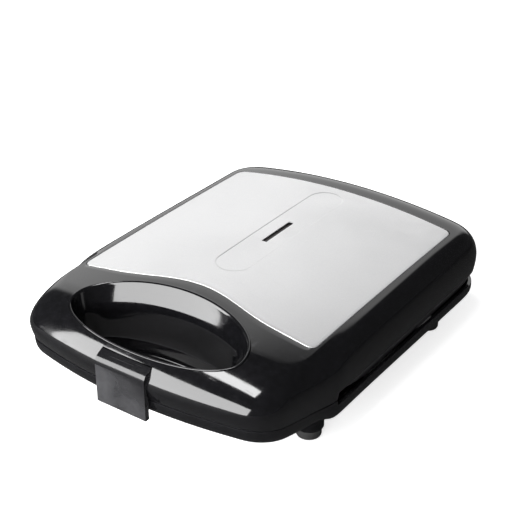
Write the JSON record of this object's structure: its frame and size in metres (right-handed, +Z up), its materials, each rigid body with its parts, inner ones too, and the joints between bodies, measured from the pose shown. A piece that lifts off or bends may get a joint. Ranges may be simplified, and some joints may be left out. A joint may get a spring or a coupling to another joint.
{
  "type": "sandwich toaster",
  "caption": "Closed electric sandwich toaster: hinged clamshell with a steel-topped lid, a hand opening through its nose, a clip latch and sealed triangular pockets.",
  "frame": {"origin": "middle of the width and the length, on the worktop", "axes": "+Z up, -Y towards the handle (front), +X to the right when seen from the front"},
  "size_m": [0.235, 0.3184, 0.0903],
  "materials": {
    "black_gloss": "polished, lightly rubbed",
    "black_satin": "fine moulded grain",
    "lid_steel": "fine satin, silver",
    "nonstick": "non-stick coating on cast aluminium",
    "heater_tube": "heat-stained tube",
    "tray_metal": "bright sheet",
    "screw_steel": "zinc plated",
    "ceramic_white": "unglazed",
    "natural_plastic": "natural heat-proof plastic",
    "rubber_black": "matt",
    "window_dark": "smoked and polished",
    "lamp_red": "clear red",
    "lamp_green": "clear green"
  },
  "bodies": {
    "base": {"base_shell": "black_gloss", "base_frame": "black_satin", "lower_plate": "nonstick", "lower_heater": "heater_tube", "lower_reflector": "tray_metal", "lower_plate_screws": "screw_steel", "base_screws": "screw_steel", "thermal_fuse": "ceramic_white", "terminal_block": "ceramic_white", "cord_inlet": "rubber_black", "hinge_bracket_left": "black_satin", "hinge_bracket_right": "black_satin", "hinge_pin_left": "screw_steel", "hinge_pin_right": "screw_steel", "hinge_screws": "screw_steel", "foot_front_left": "rubber_black", "foot_front_right": "rubber_black", "foot_back_left": "rubber_black", "foot_back_right": "rubber_black"},
    "lid": {"lid_shell": "black_gloss", "lid_frame": "black_satin", "top_panel": "lid_steel", "grip_liner": "black_gloss", "upper_plate": "nonstick", "upper_heater": "heater_tube", "upper_reflector": "tray_metal", "upper_plate_screws": "screw_steel", "lid_screws": "screw_steel", "thermostat": "ceramic_white", "indicator_window": "window_dark", "lamp_holder": "natural_plastic", "power_lamp": "lamp_red", "ready_lamp": "lamp_green", "latch_bearings": "black_satin"},
    "latch": {"latch": "black_gloss"}
  },
  "joints": [
    {"name": "lid_hinge", "type": "hinge", "parent": "base", "child": "lid", "pos_m": [0, 0.1532, 0.0375], "axis": [-1, 0, 0], "range_deg": [0, 100]},
    {"name": "latch_hinge", "type": "hinge", "parent": "lid", "child": "latch", "pos_m": [0, -0.1509, 0.062], "axis": [-1, 0, 0], "range_deg": [0, 20]}
  ]
}
